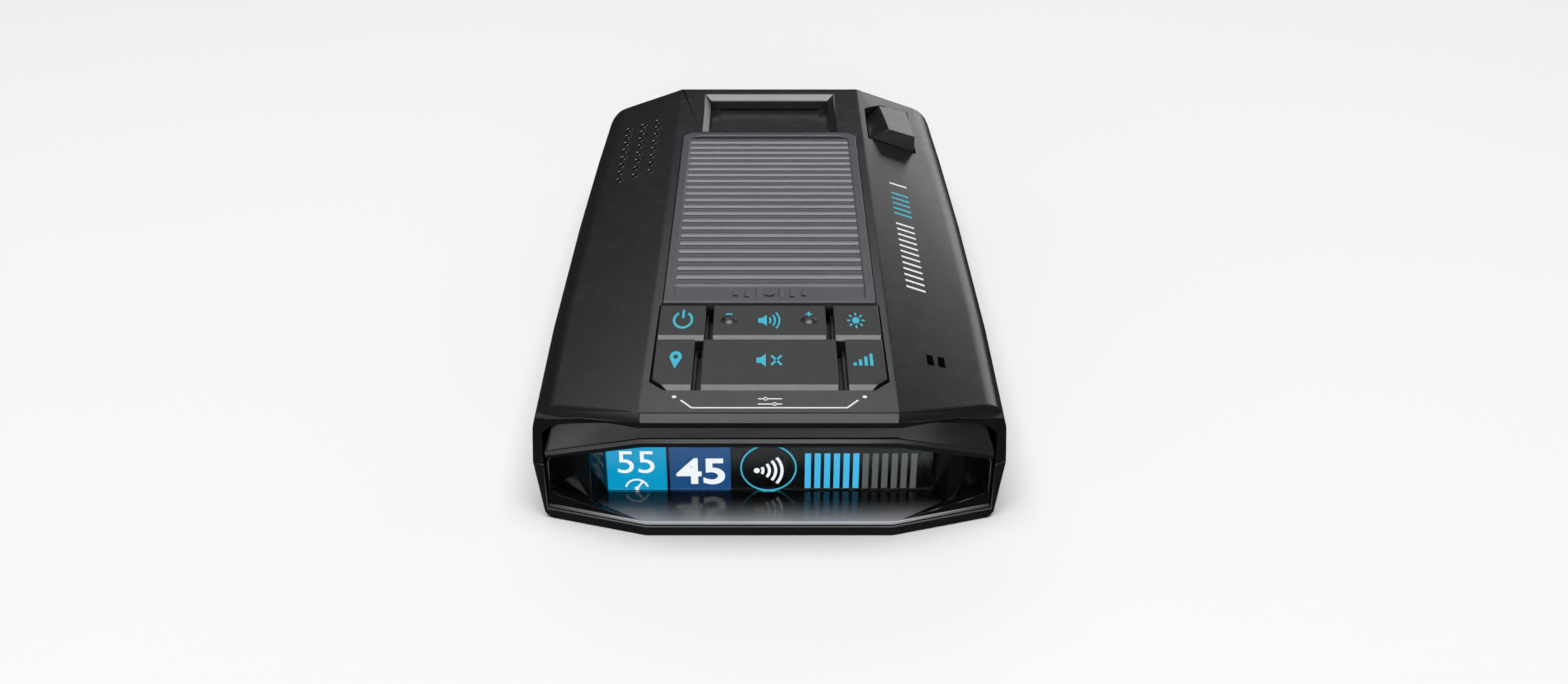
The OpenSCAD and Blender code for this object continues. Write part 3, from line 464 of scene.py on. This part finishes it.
def add_piece(name, bm, body, slot, material=None):
    for face in bm.faces:
        face.smooth = True
    for edge in bm.edges:
        edge.smooth = len(edge.link_faces) == 2 and edge.calc_face_angle(0) < math.radians(35)
    mesh = bpy.data.meshes.new(name)
    bm.to_mesh(mesh)
    bm.free()
    mesh.materials.append(material or LOOKS[slot])
    piece = bpy.data.objects.new(name, mesh)
    bpy.context.scene.collection.objects.link(piece)
    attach(piece, body)


def close_strip(bm, rings, loop):
    """Faces between matching rings of vertices. loop joins the last ring to the first."""
    count = len(rings[0])
    pairs = list(zip(rings, rings[1:])) + ([(rings[-1], rings[0])] if loop else [])
    for one, two in pairs:
        for k in range(count):
            bm.faces.new((one[k], one[(k + 1) % count], two[(k + 1) % count], two[k]))
    if not loop:
        bm.faces.new(rings[0])
        bm.faces.new(list(reversed(rings[-1])))
    bmesh.ops.recalc_face_normals(bm, faces=bm.faces)


# Raised rims of the grille's holes, on the left shoulder
rims = bmesh.new()
for column in range(3):
    for row in range(8):
        x, y = -24.8 - 3.2 * column, 51.1 - 0.7 * column - 3.8 * row
        place = (Matrix.Translation((x * MM, y * MM, (PLATEAU_Z - SLOPE * (-x - PLATEAU_X)) * MM))
                 @ Matrix.Rotation(-math.atan(SLOPE), 4, "Y"))
        around = 24
        loops = [[rims.verts.new(place @ Vector((r * MM * math.cos(math.tau * k / around),
                                                 r * MM * math.sin(math.tau * k / around), h * MM)))
                  for r, h in ((0.60, -0.25), (0.60, 0.02), (0.70, 0.13), (0.80, 0.13), (0.93, -0.05))]
                 for k in range(around)]
        close_strip(rims, loops, True)
add_piece("grille_rims", rims, "case", "case_top")

# Bead along the lip line of the brow
bead = bmesh.new()
section = ((-0.30, -0.34), (-0.05, 0.24), (0.30, 0.34), (0.34, -0.36))
path = ((-36.3, -61.25, 13.17), (-20.3, -66.2, 19.0), (20.3, -66.2, 19.0), (36.3, -61.25, 13.17))
close_strip(bead, [[bead.verts.new(((x * MM), (y + dy) * MM, (z + dz) * MM)) for dy, dz in section]
                   for x, y, z in path], False)
add_piece("hood_bead", bead, "case", "hood")


# ---------- Printed and lit marks ----------


def disc(x, y, r, n=32):
    return [(x + r * math.cos(math.tau * k / n), y + r * math.sin(math.tau * k / n)) for k in range(n)]


def ring(x, y, r, w, n=48):
    return [disc(x, y, r, n), disc(x, y, r - w, n)]


def arc(x, y, r, w, start, end, n=24):
    turns = [math.radians(start + (end - start) * k / n) for k in range(n + 1)]
    outer = [(x + r * math.cos(a), y + r * math.sin(a)) for a in turns]
    inner = [(x + (r - w) * math.cos(a), y + (r - w) * math.sin(a)) for a in reversed(turns)]
    return [outer + inner]


def bar(x0, x1, y0, y1, lean=0.0):
    return [[(x0, y0), (x1, y0), (x1 + lean, y1), (x0 + lean, y1)]]


def stroke(x0, y0, x1, y1, w):
    d = Vector((x1 - x0, y1 - y0)).normalized() * w / 2
    return [[(x0 - d.y, y0 + d.x), (x0 + d.y, y0 - d.x), (x1 + d.y, y1 - d.x), (x1 - d.y, y1 + d.x)]]


def stretched(groups, sx, sy, dx=0.0, dy=0.0):
    return [[[(x * sx + dx, y * sy + dy) for x, y in loop] for loop in group] for group in groups]


def outline_mesh(bm, group, thickness):
    """Adds one filled outline, with its holes, to bm as a thin plate. Lengths are mm."""
    curve = bpy.data.curves.new("outline", "CURVE")
    curve.dimensions = "2D"
    curve.fill_mode = "BOTH"
    curve.extrude = thickness / 2
    for loop in group:
        spline = curve.splines.new("POLY")
        spline.points.add(len(loop) - 1)
        for point, (x, y) in zip(spline.points, loop):
            point.co = (x, y, 0, 1)
        spline.use_cyclic_u = True
    add_object_mesh(bm, bpy.data.objects.new("outline", curve), Matrix.Translation((0, 0, thickness / 2)))


def add_object_mesh(bm, thing, matrix):
    mesh = bpy.data.meshes.new_from_object(thing)
    mesh.transform(matrix)
    bm.from_mesh(mesh)
    bpy.data.meshes.remove(mesh)
    bpy.data.objects.remove(thing)


def digits(bm, text, width, height, x0, y0, thickness, heavier=0.0):
    """Adds numerals to bm, fitted into the box from (x0, y0). Lengths are mm."""
    curve = bpy.data.curves.new("digits", "FONT")
    curve.body = text
    curve.extrude = thickness / 2
    curve.offset = heavier
    thing = bpy.data.objects.new("digits", curve)
    bpy.context.scene.collection.objects.link(thing)
    bpy.context.view_layer.update()
    lo = Vector(thing.bound_box[0])
    hi = Vector(thing.bound_box[6])
    size = hi - lo
    fit = Matrix.Diagonal((width / size.x, height / size.y, 1, 1))
    shift = Matrix.Translation((x0, y0, thickness / 2)) @ fit @ Matrix.Translation((-lo.x, -lo.y, 0))
    add_object_mesh(bm, thing, shift)


def mark(name, body, material, place, groups=(), thickness=0.03, numerals=()):
    """A thin printed or lit mark. place turns its own mm plane into the row frame."""
    bm = bmesh.new()
    for group in groups:
        outline_mesh(bm, group, thickness)
    for entry in numerals:
        digits(bm, *entry)
    bmesh.ops.remove_doubles(bm, verts=bm.verts, dist=0.0005)
    bmesh.ops.recalc_face_normals(bm, faces=bm.faces)
    bm.transform(place @ Matrix.Diagonal((MM, MM, MM, 1)))
    mesh = bpy.data.meshes.new(name)
    bm.to_mesh(mesh)
    bm.free()
    piece = bpy.data.objects.new(name, mesh)
    bpy.context.scene.collection.objects.link(piece)
    mesh.materials.append(material)
    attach(piece, body)


# Display: its plane is the front of the panel, with x to the right and y up
panel_low, panel_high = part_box("lcd_panel")


def on_panel(lift):
    return Matrix.Translation((0, panel_low.y - lift * MM, 0)) @ Matrix.Rotation(math.pi / 2, 4, "X")


z0, z1 = panel_low.z / MM + 0.03, panel_high.z / MM - 0.05
x_left = panel_low.x / MM + 0.02
mark("display_tile_teal", "case", glow("glow_teal", "0098C4", 1.0), on_panel(0),
     [bar(x_left, -17.1, z0, z1)])
mark("display_tile_blue", "case", glow("glow_blue", "1A4A7C", 1.0), on_panel(0),
     [bar(-16.6, -6.45, z0, z1)])
GLOW_WHITE = glow("glow_white", "F4F6F8", 1.0)
gauge = [arc(-22.2, 2.9, 2.0, 0.32, 12, 168), stroke(-22.2, 2.9, -21.2, 4.3, 0.34),
         [disc(-22.2, 2.95, 0.36)]]
mark("display_limit", "case", GLOW_WHITE, on_panel(0.03), gauge,
     numerals=[("55", 6.1, 4.4, -25.2, 6.1, 0.03, 0.0)])
mark("display_speed", "case", GLOW_WHITE, on_panel(0.03),
     numerals=[("45", 8.1, 5.3, -15.5, 3.8, 0.03, 0.022)])
mark("display_ring", "case", glow("glow_cyan", "3BB3CF", 1.0), on_panel(0),
     [ring(-0.15, 7.1, 4.7, 0.26, 72)])
waves = [arc(-2.1, 6.6, 1.3 + 1.05 * k, 0.5, -38, 38) for k in range(4)]
mark("display_band_waves", "case", GLOW_WHITE, on_panel(0.03), [*waves, [disc(-2.1, 6.6, 0.5)]])
mark("display_bars_on", "case", glow("glow_light_blue", "45B8E6", 1.0), on_panel(0),
     [bar(5.9 + 1.6 * k, 6.9 + 1.6 * k, 3.0, 10.05) for k in range(6)])
mark("display_bars_off", "case", glow("glow_grey", "5A5A5A", 1.0), on_panel(0),
     [bar(15.5 + 1.6 * k, 16.5 + 1.6 * k, 3.0, 10.05) for k in range(6)])

# Key legends: stretched along the case, so that they read from the driver's low view
TALL = 1.72


def on_key(node, x, y):
    return Matrix.Translation((x * MM, y * MM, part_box(node)[1].z))


power = [arc(0, 0, 1.72, 0.4, 122, 418, 40), bar(-0.2, 0.2, 0.35, 2.0)]
horn = [[(-2.2, -0.45), (-1.55, -0.45), (-0.75, -1.1), (-0.75, 1.1), (-1.55, 0.45), (-2.2, 0.45)]]
louder = [horn, *[arc(-0.9, 0, 0.95 + 0.75 * k, 0.3, -42, 42) for k in range(3)]]
silent = [horn, stroke(0.1, -0.8, 1.7, 0.8, 0.34), stroke(0.1, 0.8, 1.7, -0.8, 0.34)]
sun = [[disc(0, 0, 0.62)]] + [
    stroke(0.95 * math.cos(a), 0.95 * math.sin(a), 1.5 * math.cos(a), 1.5 * math.sin(a), 0.28)
    for a in [math.tau * k / 8 for k in range(8)]]
pin = [[[(0, -1.35)] + [(0.85 * math.cos(math.radians(a)), 0.5 + 0.85 * math.sin(math.radians(a)))
                        for a in range(-30, 211, 12)], disc(0, 0.5, 0.34, 20)]]
strength = [bar(-1.75 + 0.95 * k, -1.2 + 0.95 * k, -1.1, -0.5 + 0.55 * k) for k in range(4)]
sliders = [bar(-1.9, -1.05, 0.42, 0.6), bar(-0.35, 1.9, 0.42, 0.6), bar(-1.9, 0.35, -0.6, -0.42),
           bar(1.05, 1.9, -0.6, -0.42), ring(-0.7, 0.51, 0.34, 0.14, 20), ring(0.7, -0.51, 0.34, 0.14, 20)]

for name, body, node, x, y, icon, size in (
    ("legend_power", "power_key", "key_power", -14.7, -39.3, power, 1.0),
    ("legend_volume", "volume_rocker", "key_volume", 0.3, -39.5, louder, 1.0),
    ("legend_brightness", "brightness_key", "key_brightness", 14.7, -39.5, sun, 1.0),
    ("legend_mark", "mark_key", "key_mark", -15.3, -52.3, pin, 1.15),
    ("legend_mute", "mute_key", "key_mute", 0.2, -52.4, silent, 1.05),
    ("legend_sensitivity", "sensitivity_key", "key_sensitivity", 15.3, -52.3, strength, 0.95),
):
    mark(name, body, INK_TEAL, on_key(node, x, y), stretched(icon, size, size * TALL))


def dimple(name, x, y, node, body):
    """Low tactile dome with a soft foot, standing on a key."""
    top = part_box(node)[1].z
    profile = [(1.45, 0.0), (1.25, 0.04), (1.10, 0.14), (0.92, 0.30), (0.66, 0.44), (0.33, 0.51)]
    bm = bmesh.new()
    around = 28
    rings = [[bm.verts.new((x * MM + r * MM * math.cos(math.tau * k / around),
                            y * MM + r * MM * math.sin(math.tau * k / around), top + h * MM))
              for k in range(around)] for r, h in profile]
    crown = bm.verts.new((x * MM, y * MM, top + 0.53 * MM))
    for low, high in zip(rings, rings[1:]):
        for k in range(around):
            bm.faces.new((low[k], low[(k + 1) % around], high[(k + 1) % around], high[k]))
    for k in range(around):
        bm.faces.new((rings[-1][k], rings[-1][(k + 1) % around], crown))
    bm.faces.new(list(reversed(rings[0])))
    add_piece(name, bm, body, "key_black")


dimple("volume_dimple_left", -6.85, -39.4, "key_volume", "volume_rocker")
dimple("volume_dimple_right", 6.75, -39.4, "key_volume", "volume_rocker")
minus = [bar(-0.45, 0.45, -0.13, 0.13)]
plus = [bar(-0.45, 0.45, -0.1, 0.1), bar(-0.13, 0.13, 0.1, 0.45), bar(-0.13, 0.13, -0.45, -0.1)]
mark("legend_quieter", "volume_rocker", INK_TEAL, on_key("key_volume", -6.85, -37.35),
     stretched(minus, 1.3, TALL))
mark("legend_louder", "volume_rocker", INK_TEAL, on_key("key_volume", 6.75, -37.35),
     stretched(plus, 1.3, TALL))

# White bracket in front of the keys
bracket = [[(-14.0, -63.95), (-13.75, -63.75), (-12.02, -65.84), (12.02, -65.84), (13.75, -63.75),
            (14.0, -63.95), (12.14, -66.16), (-12.14, -66.16)]]
settings = stretched(sliders, 1.0, TALL * 0.85, 0.1, -64.2)
mark("settings_bracket", "case", INK_WHITE, Matrix.Translation((0, 0, PLATEAU_Z * MM)),
     [bracket, *[[disc(s * 14.95, -62.9, 0.36)] for s in (-1, 1)], *settings])

# Generic slanted bars along the right shoulder
slope = math.atan(SLOPE)
for name, material, first, count in (("shoulder_bars_white", INK_WHITE, 0, 12),
                                     ("shoulder_bars_teal", INK_TEAL, 13, 5),
                                     ("shoulder_bars_end", INK_WHITE, 19, 1)):
    along = [bar(-26.2 + 2.3 * k, -25.55 + 2.3 * k, -1.75, 1.75, 0.9) for k in range(first, first + count)]
    middle_x = 26.2
    place = (Matrix.Translation((middle_x * MM, 0, (PLATEAU_Z - SLOPE * (middle_x - PLATEAU_X)) * MM))
             @ Matrix.Rotation(slope, 4, "Y") @ Matrix.Rotation(math.pi / 2, 4, "Z"))
    mark(name, "case", material, place, along)


# ---------- Stage, light and camera ----------

floor_look = Look("studio_floor", (0.52, 0.52, 0.525), 0.8)
floor_look.tint(floor_look.blend(floor_look.noise(0.15, 3), (0.515, 0.515, 0.52), (0.525, 0.525, 0.53)))
floor_look.bump(floor_look.noise(0.8 * MM, 2), 0.01 * MM, 0.2)
floor_mesh = bpy.data.meshes.new("studio_floor")
half = 4.0
corners = [(-half, -half, 0), (half, -half, 0), (half, half, 0), (-half, half, 0)]
floor_mesh.from_pydata(corners, [], [(0, 1, 2, 3)])
floor_mesh.materials.append(floor_look.material)
floor = bpy.data.objects.new("studio_floor", floor_mesh)
bpy.context.scene.collection.objects.link(floor)
floor.location.z = -0.05 * MM
floor.visible_glossy = False

# The surroundings light the object dimly and look pale behind it
world = bpy.data.worlds.new("studio")
world.use_nodes = True
backdrop = world.node_tree.nodes["Background"]
backdrop.inputs["Strength"].default_value = 1.0
seen = world.node_tree.nodes.new("ShaderNodeLightPath")
sky = world.node_tree.nodes.new("ShaderNodeMix")
sky.data_type = "RGBA"
sky.inputs[6].default_value = (0.035, 0.036, 0.038, 1)
sky.inputs[7].default_value = (0.93, 0.94, 0.95, 1)
world.node_tree.links.new(seen.outputs["Is Camera Ray"], sky.inputs["Factor"])
world.node_tree.links.new(sky.outputs[2], backdrop.inputs["Color"])
bpy.context.scene.world = world


def softbox(name, azimuth, elevation, distance, width, height, radiance, aim=(0, 0, 0.02)):
    """Area light seen from the object at an azimuth (0 is behind it) and elevation, facing it."""
    a, e = math.radians(azimuth), math.radians(elevation)
    out = Vector((math.sin(a) * math.cos(e), math.cos(a) * math.cos(e), math.sin(e)))
    lamp = bpy.data.lights.new(name, "AREA")
    lamp.shape = "RECTANGLE"
    lamp.size = width
    lamp.size_y = height
    lamp.energy = radiance * math.pi * width * height
    thing = bpy.data.objects.new(name, lamp)
    bpy.context.scene.collection.objects.link(thing)
    thing.location = Vector(aim) + out * distance
    thing.rotation_euler = out.to_track_quat("Z", "Y").to_euler()


softbox("overhead", 180, 80, 1.8, 1.6, 1.24, 9.5)
softbox("rear_right", 27, 10.2, 1.3, 0.84, 0.47, 1.6)
softbox("rear_upper", -13, 41, 1.2, 0.88, 0.42, 1.7)
softbox("front", 180, 14, 1.2, 1.2, 0.48, 3.6)
softbox("front_left", -130, 10, 1.2, 0.7, 0.38, 2.2)
softbox("front_right", 116, 7, 1.2, 0.36, 0.28, 1.4)
softbox("left_side", -84, 30, 1.2, 0.7, 0.4, 0.7)
softbox("right_side", 80, 30, 1.2, 0.7, 0.4, 0.7)

eye = bpy.data.cameras.new("camera")
eye.lens = 34.39
eye.sensor_width = 36
eye.shift_x = 0.0093
eye.clip_start = 0.01
eye.clip_end = 20
camera = bpy.data.objects.new("camera", eye)
bpy.context.scene.collection.objects.link(camera)
camera.location = (0, -0.260, 0.153)
camera.rotation_euler = (math.radians(90 - 30.9), 0, 0)
bpy.context.scene.camera = camera

bpy.context.scene.view_settings.view_transform = "Standard"
bpy.context.scene.view_settings.look = "None"
